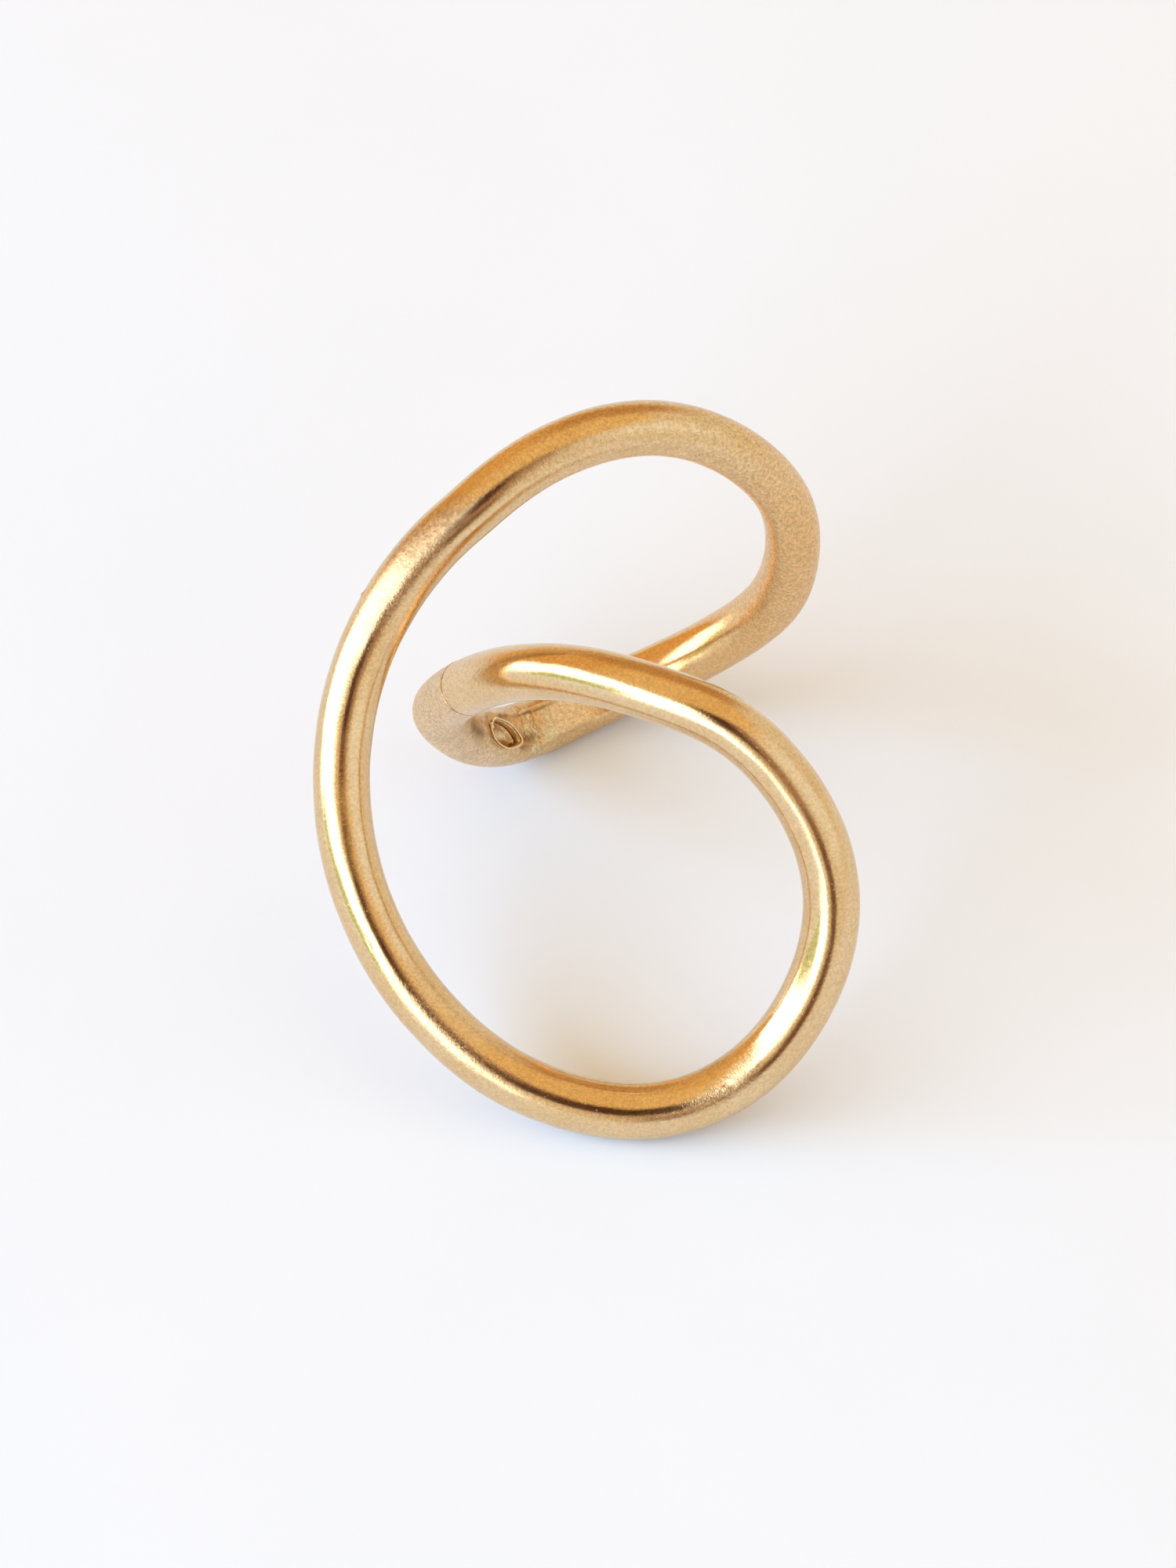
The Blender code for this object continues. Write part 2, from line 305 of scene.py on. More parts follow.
class Mark:
    """A place on the surface, with a smooth window round it."""

    def __init__(self, number, offset_degrees, turn_degrees=0.0):
        self.distance = RUN.distance_of(number % COUNT)
        self.angle = camera_angle(self.distance, offset_degrees)
        self.turn = math.radians(turn_degrees)

    def local(self, distance, angle):
        """Position (along, across) from the mark, in millimetres, turned with it."""
        half = RUN.length / 2.0
        along = np.mod(distance - self.distance + half, RUN.length) - half
        across = turn_from(angle, self.angle) * TUBE_RADIUS
        c, s = math.cos(self.turn), math.sin(self.turn)
        return along * c + across * s, -along * s + across * c

    def bump(self, distance, angle, length, width):
        """1 at the mark, falling smoothly to nothing over the given length and width."""
        u, v = self.local(distance, angle)
        return np.exp(-(u / length) ** 2 - (v / width) ** 2)


# Number, degrees from the camera line, turn in degrees, length, width, depth or height.
DENTS = [
    (20.57, 27.0, 35.0, 0.34, 0.10, 0.075),
    (20.52, 20.0, 80.0, 0.22, 0.07, 0.050),
    (0.98, -4.0, 20.0, 0.18, 0.10, 0.050),
    (1.03, 6.0, 60.0, 0.12, 0.07, 0.035),
    (22.30, 8.0, 10.0, 0.40, 0.16, 0.018),
    (25.10, 24.0, 0.0, 0.50, 0.12, 0.016),
    (3.30, 40.0, 15.0, 0.30, 0.10, 0.015),
    (18.60, -30.0, 25.0, 0.35, 0.12, 0.020),
    (16.90, 48.0, -20.0, 0.30, 0.14, 0.016),
    (10.05, 34.0, 70.0, 0.45, 0.10, 0.035),
    (8.62, 4.0, 84.0, 0.10, 0.07, 0.050),
    (8.60, -8.0, 84.0, 0.08, 0.06, 0.045),
    (8.58, -18.0, 84.0, 0.10, 0.06, 0.045),
]
RAISED = [
    (20.60, 31.0, 35.0, 0.30, 0.07, 0.035),
    (20.54, 12.0, 80.0, 0.20, 0.06, 0.020),
    (22.43, 76.0, 0.0, 0.16, 0.09, 0.110),
    (0.96, 2.0, 20.0, 0.14, 0.06, 0.022),
]
# Fine creases where the tube was folded.
WRINKLES = [
    (9.78, 20.0, 62.0, 0.85, 0.060, 0.040),
    (9.92, 10.0, 70.0, 0.75, 0.055, 0.035),
    (9.66, 31.0, 55.0, 0.60, 0.050, 0.028),
    (10.10, 2.0, 78.0, 0.55, 0.050, 0.025),
    (10.83, -17.0, 12.0, 1.10, 0.080, 0.060),
    (10.60, -34.0, 20.0, 0.80, 0.060, 0.035),
]
# Brown patches, partly real tarnish and partly painted shade in the hollow by the opening and along
# the flat's edges: number, degrees round from the finger side, half length, half width, amount.
TARNISH_AND_SHADE = [
    (10.36, 30.0, 1.50, 0.34, 1.00),
    (11.86, 20.0, 0.60, 0.34, 1.00),
    (11.76, 38.0, 0.50, 0.20, 0.90),
    (12.10, -29.0, 2.10, 0.09, 1.00),
    (11.46, -33.0, 0.60, 0.20, 0.95),
    (12.60, 39.0, 1.70, 0.16, 0.60),
]
# Stretches with a finish of their own: number, reach in control points, amount.
MATTE = [(10.0, 2.0, 0.95), (17.0, 2.8, 0.80), (12.2, 1.4, 0.70), (19.4, 1.4, 0.35)]
WARM = [(15.8, 2.8, 0.75), (12.6, 1.6, 0.45)]
SPECKLE = [(22.1, 0.9, 0.9), (0.9, 0.55, 0.9), (26.1, 1.0, 0.8), (8.3, 0.6, 0.7), (15.4, 0.8, 0.6)]


def crease(distance, angle, number, degrees, turn, length, width):
    """A wandering groove with a low shoulder along one side."""
    u, v = Mark(number, degrees, turn).local(distance, angle)
    wander = v - 0.06 * np.sin(5.0 * u + number)
    groove = np.exp(-(wander / width) ** 2)
    shoulder = np.exp(-((wander - 1.7 * width) / width) ** 2)
    return np.exp(-(u / length) ** 2) * (groove - 0.45 * shoulder)


def surface_lift(distance, angle):
    """Height of the worked surface over the plain tube: soft waves, dents and creases."""
    lift = 0.006 * np.sin(0.83 * distance + 0.9 * np.sin(angle + 0.4))
    lift = lift + 0.005 * np.sin(2.0 * angle + 0.31 * distance + 1.3)
    lift = lift + 0.003 * np.sin(1.9 * distance + 3.0 * angle)
    lift = lift - WAVE_ALLOWANCE
    for *place, length, width, depth in DENTS:
        lift = lift - depth * Mark(*place).bump(distance, angle, length, width)
    for *place, length, width, height in RAISED:
        lift = lift + height * Mark(*place).bump(distance, angle, length, width)
    for *shape, depth in WRINKLES:
        lift = lift - depth * crease(distance, angle, *shape)
    return lift


def stretch_amount(distance, stretches):
    """The strongest of the given stretches, each fading out towards its reach."""
    here = RUN.number_of(distance)
    amount = np.zeros(here.shape)
    for number, reach, strength in stretches:
        gap = np.abs(np.mod(here - number + COUNT / 2.0, COUNT) - COUNT / 2.0)
        amount = np.maximum(amount, strength * (1.0 - smooth_step(gap, 0.35 * reach, reach)))
    return amount


def solder_amount(distance, angle):
    """Thin film of solder run out over the finger side, on both sides of the joint."""
    gap = np.abs(np.mod(distance, RUN.length) - RUN.distance_of(SHANK_SEAM + 0.12))
    facing = smooth_step(np.cos(angle), 0.1, 0.8)
    return facing * (1.0 - smooth_step(gap, 0.35, 2.3))


def tarnish_and_shade_amount(distance, angle):
    """Brown patches round the opening and along the edges of the flat: real tarnish, and painted shade
    in the hollow beside the opening and along the flat's edges.
    """
    amount = np.zeros(distance.shape)
    for number, degrees, length, width, strength in TARNISH_AND_SHADE:
        along = np.mod(distance, RUN.length) - RUN.distance_of(number)
        across = turn_from(angle, math.radians(degrees)) * TUBE_RADIUS
        spot = np.exp(-(along / length) ** 4 - (across / width) ** 2)
        amount = np.maximum(amount, strength * spot)
    return amount


def scuff_and_shade_amount(distance, angle):
    """Rubbed, speckled skin with painted shade where the top left highlight gives out: its brown dims
    the window's reflection there.
    """
    u, v = Mark(21.55, 26.0).local(distance, angle)
    return np.exp(-(u / 2.7) ** 4 - (v / 0.95) ** 4)


def noise_value(point, scale, seed):
    """Smooth noise in -1..1 at a point in millimetres."""
    return noise.noise(Vector(point) * scale + Vector((seed, 2.0 * seed, -seed)))


# ---- mesh building ---------------------------------------------------------------------

def add_object(name, mesh, material):
    mesh.materials.append(material)
    obj = bpy.data.objects.new(name, mesh)
    bpy.context.scene.collection.objects.link(obj)
    return obj


def grid_object(name, points, along, around, girth, values, material):
    """A closed skin over a grid of points that joins up both ways.

    Along and around are the texture lengths at each point, and girth is the length of one
    full round. Values are attributes for the material.
    """
    rows, cols = points.shape[:2]
    i, j = np.meshgrid(np.arange(rows), np.arange(cols), indexing="ij")
    next_i, next_j = (i + 1) % rows, (j + 1) % cols
    corners = (i * cols + j, i * cols + next_j, next_i * cols + next_j, next_i * cols + j)
    faces = np.stack([corner.ravel() for corner in corners], axis=1)
    mesh = bpy.data.meshes.new(name)
    mesh.from_pydata((points.reshape(-1, 3) * MM).tolist(), [], faces.tolist())
    wraps = (faces % cols == 0) & (faces[:, :1] % cols == cols - 1)
    u = along.reshape(-1)[faces]
    v = around.reshape(-1)[faces] + np.where(wraps, girth, 0.0)
    mesh.uv_layers.new(name="tube").data.foreach_set("uv", np.stack([u, v], axis=-1).ravel())
    for key, amount in values.items():
        attribute = mesh.attributes.new(key, "FLOAT", "POINT")
        attribute.data.foreach_set("value", amount.reshape(-1).astype(np.float32))
    obj = add_object(name, mesh, material)
    tidy_normals(obj)
    return obj


def tidy_normals(obj):
    build = bmesh.new()
    build.from_mesh(obj.data)
    bmesh.ops.recalc_face_normals(build, faces=build.faces)
    build.to_mesh(obj.data)
    build.free()
    shade_smooth(obj)


def shade_smooth(obj):
    obj.data.polygons.foreach_set("use_smooth", [True] * len(obj.data.polygons))


def swept_tube(name, start, end, step, sides, material):
    """A length of hollow tube. Solder nearly fills the bore just behind the opening."""
    outside = np.linspace(start, end, int(round((end - start) / step)) + 1)
    inside = outside[::-1][::max(1, int(round(BORE_STEP / step)))]
    inside = np.concatenate([inside[:-1], [start]])
    angles = np.linspace(0.0, FULL_TURN, sides, endpoint=False)
    distance, angle = np.meshgrid(np.concatenate([outside, inside]), angles, indexing="ij")
    bore = np.zeros(distance.shape)
    bore[len(outside):] = 1.0
    from_end = np.minimum(distance - start, end - distance)
    ease = END_EASE * (1.0 - smooth_step(from_end, 0.0, END_EASE_REACH))
    lift = np.where(bore > 0.0, -WALL, surface_lift(distance, angle) - ease)
    filled = bore * zone(distance, OPENING_AT + np.array(FILL_REACH))
    points = surface(distance, angle, lift, NO_FILL + (FILL_TOP - NO_FILL) * filled)
    values = {
        "matte": stretch_amount(distance, MATTE),
        "speckle": stretch_amount(distance, SPECKLE),
        "warm": stretch_amount(distance, WARM),
        "solder": solder_amount(distance, angle),
        "tarnish_and_shade": tarnish_and_shade_amount(distance, angle),
        "scuff_and_shade": scuff_and_shade_amount(distance, angle),
        "bore": bore,
    }
    around = angle * TUBE_RADIUS
    return grid_object(name, points, distance, around, FULL_TURN * TUBE_RADIUS, values, material)


def opening_outline(grow, count):
    """The slightly ragged oval, grown outwards, as lengths along and across the tube."""
    turn = math.radians(OPENING_TURN)
    angle = np.linspace(0.0, FULL_TURN, count, endpoint=False)
    ragged = 1.0 + 0.035 * np.sin(3.0 * angle + 0.5) + 0.025 * np.sin(5.0 * angle)
    u = (OPENING_LONG / 2.0 * ragged + grow) * np.cos(angle)
    v = (OPENING_SHORT / 2.0 * ragged + grow) * np.sin(angle)
    return u * math.cos(turn) - v * math.sin(turn), u * math.sin(turn) + v * math.cos(turn)


def face_point(along, across, lift):
    """Point of the shank's finger side, measured from the middle of the opening."""
    distance = OPENING_AT + along
    width = section_sizes(distance)[3] + lift
    angle = np.arcsin(np.clip(across / width, -1.0, 1.0))
    return surface(distance, angle + math.radians(OPENING_ANGLE), lift)


def opening_cutter():
    """An oval plug through the finger side of the shank's wall."""
    u, v = opening_outline(0.0, CUT_SIDES)
    build = bmesh.new()
    rows = []
    for depth in np.linspace(CUT_ABOVE, -CUT_BELOW, 5):
        ring = face_point(u, v, np.full(u.shape, depth))
        rows.append([build.verts.new(Vector(p) * MM) for p in ring])
    for upper, lower in zip(rows, rows[1:]):
        for k in range(CUT_SIDES):
            n = (k + 1) % CUT_SIDES
            build.faces.new((upper[k], upper[n], lower[n], lower[k]))
    build.faces.new(rows[0])
    build.faces.new(list(reversed(rows[-1])))
    bmesh.ops.recalc_face_normals(build, faces=build.faces)
    mesh = bpy.data.meshes.new("opening_cutter")
    build.to_mesh(mesh)
    build.free()
    cutter = bpy.data.objects.new("opening_cutter", mesh)
    bpy.context.scene.collection.objects.link(cutter)
    return cutter


def cut_opening(shank):
    """Cuts the oval opening through the wall and keeps its edge sharp."""
    cutter = opening_cutter()
    cut = shank.modifiers.new("opening", "BOOLEAN")
    cut.operation = "DIFFERENCE"
    cut.solver = "EXACT"
    cut.object = cutter
    bpy.context.view_layer.update()
    graph = bpy.context.evaluated_depsgraph_get()
    result = bpy.data.meshes.new_from_object(shank.evaluated_get(graph), depsgraph=graph)
    shank.modifiers.clear()
    shank.data = result
    bpy.data.objects.remove(cutter)
    shade_smooth(shank)
    bpy.context.view_layer.objects.active = shank
    shank.select_set(True)
    bpy.ops.object.shade_auto_smooth(angle=math.radians(40.0))
    shank.select_set(False)


def opening_bead(name, material):
    """The bright burnished lip round the opening, a little uneven, with a torn spur."""
    u, v = opening_outline(BEAD_GROW, BEAD_STEPS)
    du = np.roll(u, -1) - np.roll(u, 1)
    dv = np.roll(v, -1) - np.roll(v, 1)
    length = np.hypot(du, dv)
    place = np.linspace(0.0, FULL_TURN, BEAD_STEPS, endpoint=False)
    uneven = 1.0 + 0.22 * np.sin(2.0 * place + 0.8) + 0.12 * np.sin(5.0 * place)
    spur = np.exp(-(turn_from(place, SPUR_PLACE) / SPUR_SPREAD) ** 2)
    u, v, out_u, out_v, uneven, spur = (
        row[:, None] for row in (u, v, dv / length, -du / length, uneven, spur))
    turn = np.linspace(0.0, FULL_TURN, BEAD_SIDES, endpoint=False)[None, :]
    half = BEAD_HALF * uneven * (1.0 + 0.9 * spur)
    off = half * np.cos(turn) + SPUR_LENGTH * spur * (np.cos(turn) > 0.0)
    high = BEAD_FOOT + BEAD_HEIGHT * uneven * (1.0 + np.sin(turn)) * (1.0 + 0.6 * spur)
    points = face_point(u + out_u * off, v + out_v * off, high)
    along = np.broadcast_to(place[:, None], off.shape)
    around = np.broadcast_to(np.linspace(0.0, BEAD_GIRTH, BEAD_SIDES), off.shape)
    return grid_object(name, points, along, around, BEAD_GIRTH, {}, material)


def solder_band(name, middle, height, patch_reach, patch_height, material):
    """Solder in the gap between two tube ends, spread thinly over both of them.

    On the finger side it can spread further and stand higher, as a lumpy patch.
    """
    angle = np.linspace(0.0, FULL_TURN, BAND_SIDES, endpoint=False)
    facing = smooth_step(np.cos(angle), 0.2, 0.95)
    circle = [(3.0 * math.cos(a), 3.0 * math.sin(a), 0.0) for a in angle]
    ragged = np.array([noise_value(p, 0.9, 4.0) + 0.6 * noise_value(p, 2.7, 9.0) for p in circle])
    reach = (BAND_REACH + (patch_reach - BAND_REACH) * facing) * (1.0 + 0.60 * ragged * facing)
    peak = height + (patch_height - height) * facing
    distance = [np.full(BAND_SIDES, middle - HALF_GAP), np.full(BAND_SIDES, middle + HALF_GAP)]
    lift = [np.full(BAND_SIDES, -WALL), np.full(BAND_SIDES, -WALL)]
    for s in np.linspace(1.0, -1.0, BAND_RINGS):
        d = middle + s * reach
        lumps = np.array([
            noise_value((x, a * TUBE_RADIUS, 0.0), 2.3, 1.0)
            + 0.6 * noise_value((x, a * TUBE_RADIUS, 3.0), 5.5, 2.0)
            for x, a in zip(d, angle)])
        dome = peak * (1.0 - abs(s) ** 3) * (1.0 + 0.85 * lumps * facing)
        distance.append(d)
        lift.append(surface_lift(d, angle) + np.maximum(dome, 0.0) + BAND_FOOT)
    distance = np.stack(distance)
    angle = np.broadcast_to(angle, distance.shape)
    points = surface(distance, angle, np.stack(lift))
    patch = np.broadcast_to(facing * (patch_height > height), distance.shape)
    values = {
        "matte": np.maximum(stretch_amount(distance, MATTE), patch * 0.8),
        "speckle": patch * 0.8,
        "warm": stretch_amount(distance, WARM),
        "solder": patch,
        "tarnish_and_shade": tarnish_and_shade_amount(distance, angle),
    }
    around = angle * TUBE_RADIUS
    return grid_object(name, points, distance, around, FULL_TURN * TUBE_RADIUS, values, material)


# ---- materials -------------------------------------------------------------------------

class Graph:
    """Small helpers for wiring shader nodes."""

    def __init__(self, tree):
        self.tree = tree

    def node(self, kind, **settings):
        made = self.tree.nodes.new(kind)
        for key, value in settings.items():
            setattr(made, key, value)
        return made

    def link(self, source, target):
        if isinstance(source, (float, tuple)):
            target.default_value = source
        else:
            self.tree.links.new(source, target)

    def math(self, operation, a, b=0.0):
        made = self.node("ShaderNodeMath", operation=operation)
        self.link(a, made.inputs[0])
        self.link(b, made.inputs[1])
        return made.outputs[0]

    def times(self, a, b):
        return self.math("MULTIPLY", a, b)

    def plus(self, first, *others):
        for other in others:
            first = self.math("ADD", first, other)
        return first

    def vector(self, operation, a, b, target=1):
        """A vector operation; its second input is a vector, or the scale."""
        made = self.node("ShaderNodeVectorMath", operation=operation)
        self.link(a, made.inputs[0])
        self.link(b, made.inputs[target])
        return made.outputs["Value"] if operation == "DOT_PRODUCT" else made.outputs[0]

    def scale(self, vector, amount):
        return self.vector("SCALE", vector, amount, "Scale")

    def ramp(self, value, low, high, to_low=0.0, to_high=1.0):
        made = self.node("ShaderNodeMapRange", interpolation_type="SMOOTHSTEP")
        self.link(value, made.inputs["Value"])
        made.inputs["From Min"].default_value = low
        made.inputs["From Max"].default_value = high
        made.inputs["To Min"].default_value = to_low
        made.inputs["To Max"].default_value = to_high
        return made.outputs[0]

    def noise(self, place, scale, detail, roughness):
        made = self.node("ShaderNodeTexNoise")
        self.link(place, made.inputs["Vector"])
        made.inputs["Scale"].default_value = scale
        made.inputs["Detail"].default_value = detail
        made.inputs["Roughness"].default_value = roughness
        return made.outputs["Fac"]

    def lay(self, colour, amount, tint):
        """The colour with some of the tint laid over it."""
        made = self.node("ShaderNodeMix", data_type="RGBA", blend_type="MIX")
        self.link(amount, made.inputs[0])
        self.link((*colour, 1.0) if isinstance(colour, tuple) else colour, made.inputs[6])
        self.link((*tint, 1.0), made.inputs[7])
        return made.outputs[2]

    def attribute(self, name):
        made = self.node("ShaderNodeAttribute", attribute_type="GEOMETRY", attribute_name=name)
        return made.outputs["Fac"]

    def millimetres(self):
        """The place on the object, in millimetres."""
        return self.scale(self.node("ShaderNodeTexCoord").outputs["Object"], 1.0 / MM)

    def bump(self, height, strength=1.0):
        """The normal for a height in millimetres."""
        made = self.node("ShaderNodeBump")
        made.inputs["Strength"].default_value = strength
        made.inputs["Distance"].default_value = MM
        self.link(height, made.inputs["Height"])
        return made.outputs[0]


def new_material(name):
    material = bpy.data.materials.new(name)
    material.use_nodes = True
    return material, Graph(material.node_tree), material.node_tree.nodes["Principled BSDF"]


def gold_colour(g, place, light, deep, stain, stain_amount):
    """Two gold tones, then stain, freckles, solder film, tarnish with painted shade, scuffs with
    painted shade, the bore's painted shade and the grain.
    """
    matte = g.attribute("matte")
    tone = g.ramp(g.noise(place, 0.28, 3.0, 0.6), 0.35, 0.68)
    colour = g.lay(light, tone, deep)
    colour = g.lay(colour, g.attribute("warm"), WARM_GOLD)
    mottle = g.ramp(g.noise(place, 1.9, 5.0, 0.65), 0.50, 0.72)
    colour = g.lay(colour, g.times(mottle, stain_amount), stain)
    freckle = g.ramp(g.noise(place, 4.6, 3.0, 0.75), 0.50, 0.70)
    rubbed = g.plus(0.10, g.times(matte, 0.28))
    colour = g.lay(colour, g.times(freckle, rubbed), FRECKLE_BROWN)
    film = g.ramp(g.noise(place, 1.3, 4.0, 0.6), 0.42, 0.60)
    film = g.times(g.times(film, g.attribute("solder")), 0.75)
    colour = g.lay(colour, film, SOLDER_FILM)
    # Brown laid over the tarnish patches: real tarnish, and painted shade in the hollow by the opening
    # and along the flat's edges.
    broken = g.ramp(g.noise(place, 2.6, 4.0, 0.7), 0.34, 0.60, 0.45, 1.0)
    colour = g.lay(colour, g.times(g.attribute("tarnish_and_shade"), broken), TARNISH_AND_SHADE_BROWN)
    # Painted shade over the rubbed skin at the top left, dimming the window's reflection, broken up by
    # noise.
    scuff_shade_breakup = g.ramp(g.noise(place, 3.4, 4.0, 0.75), 0.40, 0.60, 0.35, 0.85)
    colour = g.lay(colour, g.times(g.attribute("scuff_and_shade"), scuff_shade_breakup), SCUFF_AND_SHADE_BROWN)
    # Painted shade inside the bore: the inner wall is laid over with a deep, dark orange.
    colour = g.lay(colour, g.attribute("bore"), BORE_PAINTED_SHADE)
    grain_mark = g.ramp(g.noise(place, 5.2, 4.0, 0.85), 0.38, 0.62, -1.0, 1.0)
    depth = g.plus(0.11, g.times(matte, 0.13))
    return g.scale(colour, g.plus(0.97, g.times(grain_mark, depth)))


def gold_roughness(g, place, streaks, fine, roughness):
    """The polish, broken by draw lines, dull patches and the rougher stretches."""
    return g.plus(
        g.ramp(streaks, 0.3, 0.8, -0.03, 0.05),
        roughness,
        g.times(g.attribute("matte"), 0.20),
        g.times(g.attribute("speckle"), g.ramp(fine, 0.45, 0.60, 0.0, 0.16)),
        g.ramp(g.noise(place, 0.6, 2.0, 0.5), 0.3, 0.7, -0.02, 0.03),
        g.times(g.attribute("bore"), 0.30),
        g.times(g.attribute("scuff_and_shade"), 0.16),
    )


def gold_relief(g, place, streaks, fine, grain):
    """The normal for the draw lines, two sizes of grain and scattered pits."""
    pits = g.node("ShaderNodeTexVoronoi", feature="F1", distance="EUCLIDEAN")
    g.link(place, pits.inputs["Vector"])
    pits.inputs["Scale"].default_value = 5.0
    hollow = g.math("SUBTRACT", 1.0, g.ramp(pits.outputs["Distance"], 0.04, 0.16))
    sparse = g.ramp(g.noise(place, 2.2, 2.0, 0.5), 0.50, 0.60)
    unpitted = g.math("SUBTRACT", 1.0, g.times(hollow, sparse))
    coarse = g.noise(place, 5.5, 4.0, 0.65)
    spread = g.plus(g.times(g.attribute("matte"), 0.9), g.times(g.attribute("speckle"), 1.3), grain)
    height = g.plus(
        g.times(streaks, 0.0011),
        g.times(g.times(fine, 0.0070), spread),
        g.times(g.times(coarse, 0.0075), spread),
        g.times(unpitted, 0.0060),
    )
    return g.bump(height)


def gold(name, light, deep, stain, stain_amount, roughness, grain):
    """Worked gold-brass: two gold tones, draw lines, fine grain, pits and a slight stain."""
    material, g, shader = new_material(name)
    shader.inputs["Metallic"].default_value = 1.0
    place = g.millimetres()
    lines = g.vector("MULTIPLY", g.node("ShaderNodeUVMap", uv_map="tube").outputs[0], (0.22, 7.0, 1.0))
    streaks = g.noise(lines, 3.0, 4.0, 0.6)
    fine = g.noise(place, 8.0, 3.0, 0.7)
    g.link(gold_colour(g, place, light, deep, stain, stain_amount), shader.inputs["Base Color"])
    g.link(gold_roughness(g, place, streaks, fine, roughness), shader.inputs["Roughness"])
    g.link(gold_relief(g, place, streaks, fine, grain), shader.inputs["Normal"])
    return material


def paper(name):
    """The pale table top: near white, with the faintest mottle and tooth."""
    material, g, shader = new_material(name)
    place = g.millimetres()
    tone = g.ramp(g.noise(place, 0.05, 3.0, 0.5), 0.3, 0.7)
    tooth = g.times(g.noise(place, 2.0, 4.0, 0.6), 0.02)
    g.link(g.lay(PAPER_COOL, tone, PAPER_LIGHT), shader.inputs["Base Color"])
    g.link(g.bump(tooth, 0.15), shader.inputs["Normal"])
    shader.inputs["Roughness"].default_value = 0.75
    shader.inputs["Specular IOR Level"].default_value = 0.25
    return material


# ---- light: a dome for the metal, and a softbox for the table ----------------------------

# Panels in the dome, later ones over earlier ones: degrees to the right of the camera's
# side, degrees up, half width, half height, softness, and the colour.
ROOM_PANELS = [
    (-140.0, 36.0, 40.0, 30.0, 12.0, (0.90, 0.54, 0.19)),
    (-138.0, 4.0, 18.0, 16.0, 6.0, (0.88, 0.52, 0.17)),
    (172.0, 38.0, 26.0, 22.0, 10.0, (0.64, 0.35, 0.13)),
    (64.0, 30.0, 22.0, 20.0, 10.0, (1.05, 1.05, 1.02)),
    (-62.0, 7.0, 32.0, 10.0, 3.0, (0.72, 0.86, 0.48)),
    (9.0, 32.0, 12.0, 25.0, 5.0, (0.48, 0.29, 0.18)),
]
# The window is the three panels together. The last number turns a panel, in degrees.
WINDOW_PANELS = [
    (-62.0, 28.5, 36.0, 13.0, 1.5, 10.0),
    (-99.0, 11.0, 13.0, 9.0, 1.5, 0.0),
    (-29.0, 12.0, 13.0, 12.0, 2.0, 0.0),
]
# A dark shape that stands in front, over the window.
FRONT_PANELS = [
    (-5.0, 41.0, 9.5, 13.0, 3.0, (0.10, 0.042, 0.022)),
    (9.0, 9.0, 9.0, 9.0, 3.0, (0.20, 0.10, 0.06)),
]


def direction(azimuth, height):
    """Unit vector at degrees to the right of the camera side and degrees up."""
    a, e = math.radians(azimuth), math.radians(height)
    return Vector((math.sin(a) * math.cos(e), -math.cos(a) * math.cos(e), math.sin(e)))


def panel(g, way, azimuth, height, half_width, half_height, soft, roll=0.0):
    """Mask of a soft-edged panel in the dome, sized in degrees."""
    middle = direction(azimuth, height)
    right = Vector((0.0, 0.0, 1.0)).cross(middle).normalized()
    up = middle.cross(right)
    turn = Matrix.Rotation(math.radians(roll), 3, middle)
    ahead = g.vector("DOT_PRODUCT", way, tuple(middle))
    masks = []
    for axis, half in ((turn @ right, half_width), (turn @ up, half_height)):
        off = g.math("ABSOLUTE", g.vector("DOT_PRODUCT", way, tuple(axis)))
        edge, blur = math.radians(half), math.radians(soft)
        masks.append(g.ramp(g.math("ARCTAN2", off, ahead), edge - blur, edge + blur, 1.0, 0.0))
    return g.times(*masks)


def build_world():
    """The dome that the metal reflects. The camera itself sees only a plain backdrop."""
    world = bpy.data.worlds.new("studio")
    bpy.context.scene.world = world
    world.use_nodes = True
    g = Graph(world.node_tree)
    way = g.node("ShaderNodeTexCoord").outputs["Generated"]
    z = g.node("ShaderNodeSeparateXYZ")
    g.link(way, z.inputs[0])
    colour = g.lay(DOME_LOW, g.ramp(z.outputs["Z"], 0.66, 0.84), DOME_HIGH)
    for *place, tint in ROOM_PANELS:
        colour = g.lay(colour, panel(g, way, *place), tint)
    window = panel(g, way, *WINDOW_PANELS[0])
    for place in WINDOW_PANELS[1:]:
        window = g.math("MAXIMUM", window, panel(g, way, *place))
    colour = g.lay(colour, window, WINDOW_LIGHT)
    for *place, tint in FRONT_PANELS:
        colour = g.lay(colour, panel(g, way, *place), tint)
    seen = g.lay(colour, g.node("ShaderNodeLightPath").outputs["Is Camera Ray"], BACKDROP)
    background = world.node_tree.nodes["Background"]
    g.link(seen, background.inputs["Color"])
    background.inputs["Strength"].default_value = 1.0


def build_softbox():
    """Cool daylight on the table from the window's side, a metre off; metal doesn't see it."""
    data = bpy.data.lights.new("softbox", "AREA")
    data.shape = "RECTANGLE"
    data.size = 1.4
    data.size_y = 0.5
    data.energy = 11.5
    data.color = SOFTBOX_LIGHT
    softbox = bpy.data.objects.new("softbox", data)
    bpy.context.scene.collection.objects.link(softbox)
    way = direction(-64.0, 27.0)
    softbox.location = way
    softbox.rotation_euler = way.to_track_quat("Z", "Y").to_euler()
    softbox.visible_glossy = False
    softbox.visible_camera = False


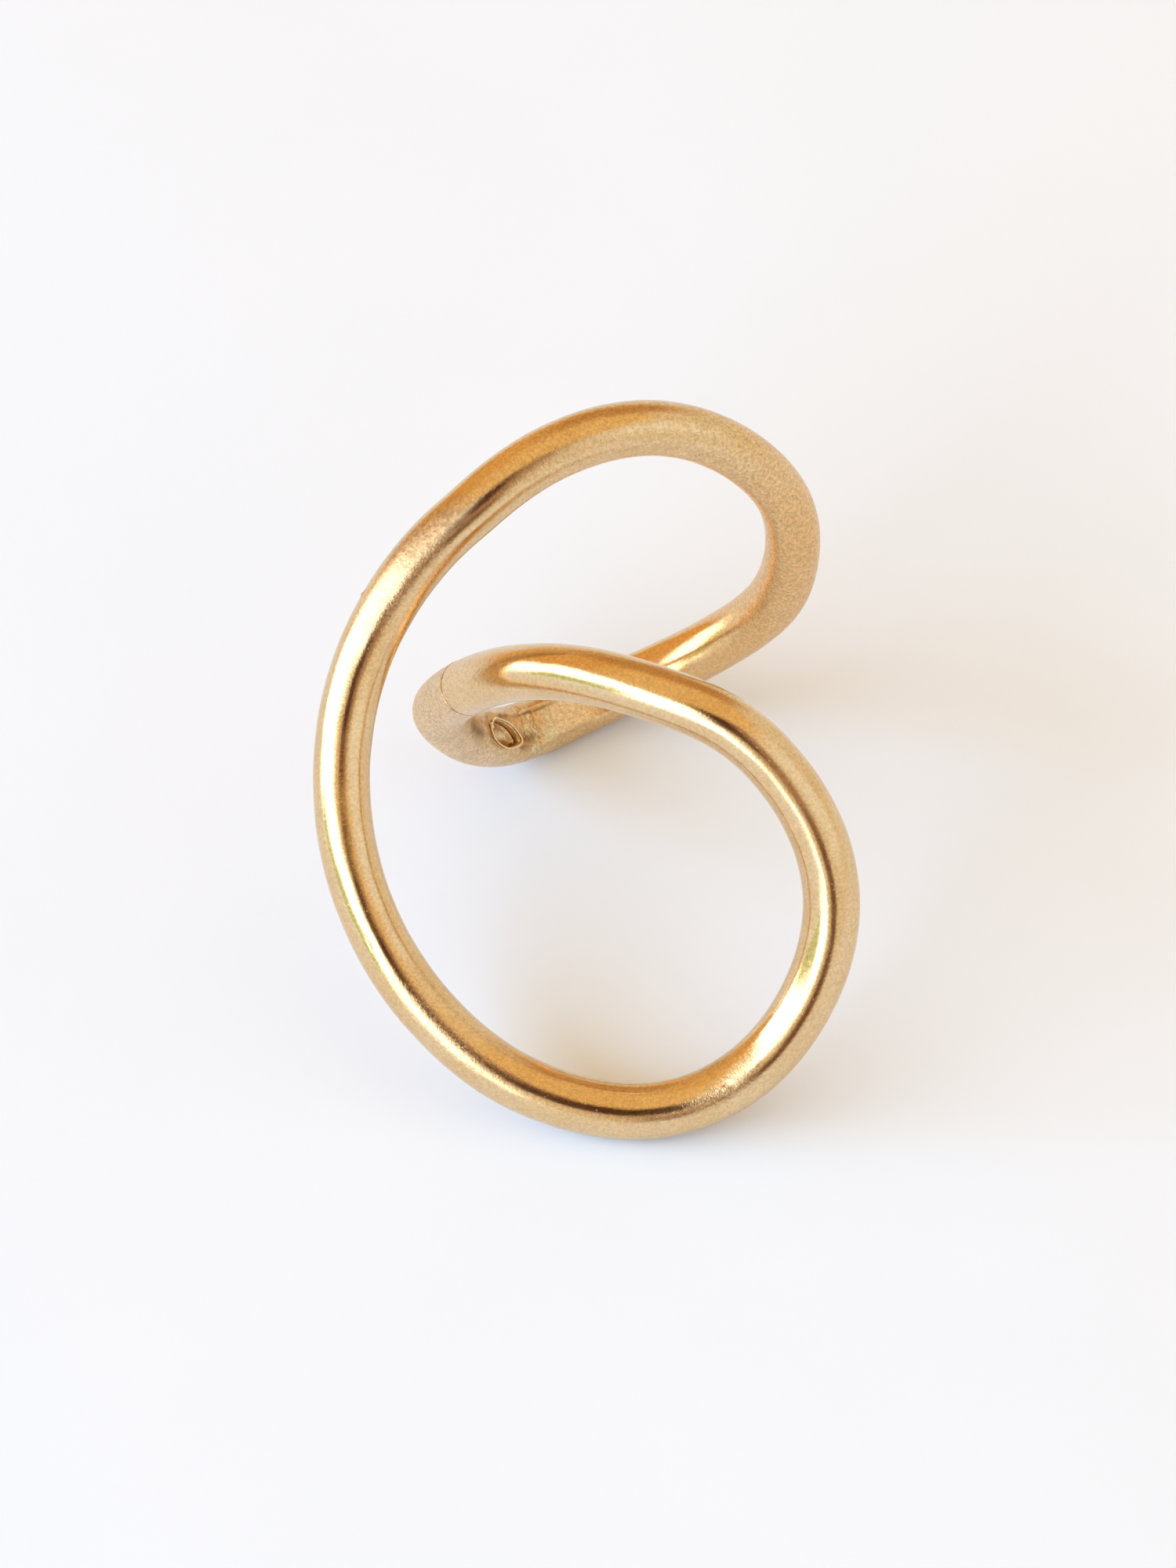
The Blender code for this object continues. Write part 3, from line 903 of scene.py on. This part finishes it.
def build_floor():
    """A wide pale table top, as a disc of rings whose outermost edge drops a little."""
    build = bmesh.new()
    middle = build.verts.new((0.0, 0.0, 0.0))
    last = None
    for radius in FLOOR_RADII:
        z = -FLOOR_DROP if radius == FLOOR_RADII[-1] else 0.0
        row = []
        for k in range(FLOOR_SIDES):
            angle = FULL_TURN * k / FLOOR_SIDES
            row.append(build.verts.new((radius * math.cos(angle), radius * math.sin(angle), z)))
        for k in range(FLOOR_SIDES):
            n = (k + 1) % FLOOR_SIDES
            if last is None:
                build.faces.new((middle, row[k], row[n]))
            else:
                build.faces.new((last[k], row[k], row[n], last[n]))
        last = row
    mesh = bpy.data.meshes.new("table_top")
    build.to_mesh(mesh)
    build.free()
    add_object("table_top", mesh, paper("table_paper"))


def build_camera(shift):
    """The camera looks along +Y and down, from far enough to see the ring nearly flat on."""
    data = bpy.data.cameras.new("camera")
    data.sensor_fit = "HORIZONTAL"
    data.sensor_width = CAMERA_SENSOR
    data.lens = CAMERA_SENSOR * CAMERA_DISTANCE / (VIEW_WIDTH * MM)
    data.clip_start = 0.05
    data.clip_end = 20.0
    camera = bpy.data.objects.new("camera", data)
    bpy.context.scene.collection.objects.link(camera)
    camera.location = Vector(CAMERA_TARGET) * MM + shift + Vector(TO_CAMERA) * CAMERA_DISTANCE
    camera.rotation_euler = (math.pi / 2.0 - CAMERA_PITCH, 0.0, 0.0)
    bpy.context.scene.camera = camera


# ---- the pieces ------------------------------------------------------------------------

def build_loop():
    metal = gold("worked_gold_loop", light=(0.80, 0.585, 0.335), deep=(0.77, 0.54, 0.285),
                 stain=(0.60, 0.42, 0.24), stain_amount=0.22, roughness=0.13, grain=0.55)
    start = SHANK_AT + HALF_GAP + END_GAP
    end = CURL_AT + RUN.length - HALF_GAP - END_GAP
    return swept_tube("worked_face_loop", start, end, LOOP_STEP, LOOP_SIDES, metal)


def build_shank():
    metal = gold("worked_gold_shank", light=(0.79, 0.58, 0.35), deep=(0.74, 0.53, 0.29),
                 stain=(0.52, 0.40, 0.24), stain_amount=0.35, roughness=0.20, grain=1.00)
    start = CURL_AT + HALF_GAP + END_GAP
    end = SHANK_AT - HALF_GAP - END_GAP
    shank = swept_tube("worked_shank", start, end, SHANK_STEP, SHANK_SIDES, metal)
    cut_opening(shank)
    return shank


def build_joints():
    metal = gold("worked_solder", light=(0.79, 0.585, 0.345), deep=(0.75, 0.55, 0.30),
                 stain=(0.46, 0.36, 0.22), stain_amount=0.55, roughness=0.18, grain=1.20)
    curl_joint = solder_band("worked_curl_seam", CURL_AT, height=0.003,
                             patch_reach=BAND_REACH, patch_height=0.003, material=metal)
    shank_joint = solder_band("worked_shank_solder", SHANK_AT, height=0.004,
                              patch_reach=0.55, patch_height=0.085, material=metal)
    return curl_joint, shank_joint


def build_bead():
    metal = gold("worked_rim", light=(0.92, 0.77, 0.52), deep=(0.88, 0.71, 0.44),
                 stain=(0.78, 0.60, 0.36), stain_amount=0.15, roughness=0.16, grain=0.60)
    return opening_bead("worked_opening_rim", metal)


loop = build_loop()
shank = build_shank()
curl_joint, shank_joint = build_joints()
bead = build_bead()
pieces = [
    (loop, "face_loop_tube", "face_loop_gold_brass"),
    (shank, "shank_tube", "shank_gold_brass"),
    (curl_joint, "curl_solder_joint", "solder_pale_gold"),
    (shank_joint, "shank_solder_joint", "solder_pale_gold"),
    (bead, "opening_rim", "rim_bright_gold"),
]

# Bring the pieces from the centreline's own frame to the CAD's: the loop's boxes share a middle.
cad_loop_low, cad_loop_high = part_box("face_loop_tube")
corners = np.array([vertex.co for vertex in loop.data.vertices])
loop_middle = Vector((corners.min(axis=0) + corners.max(axis=0)) / 2.0)
shift = (cad_loop_low + cad_loop_high) / 2.0 - loop_middle
for piece, node, slot in pieces:
    piece.data.transform(Matrix.Translation(shift))
    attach(piece, "root")
    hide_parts(node)

build_floor()
build_world()
build_softbox()
build_camera(shift)
bpy.context.scene.view_settings.view_transform = "Standard"
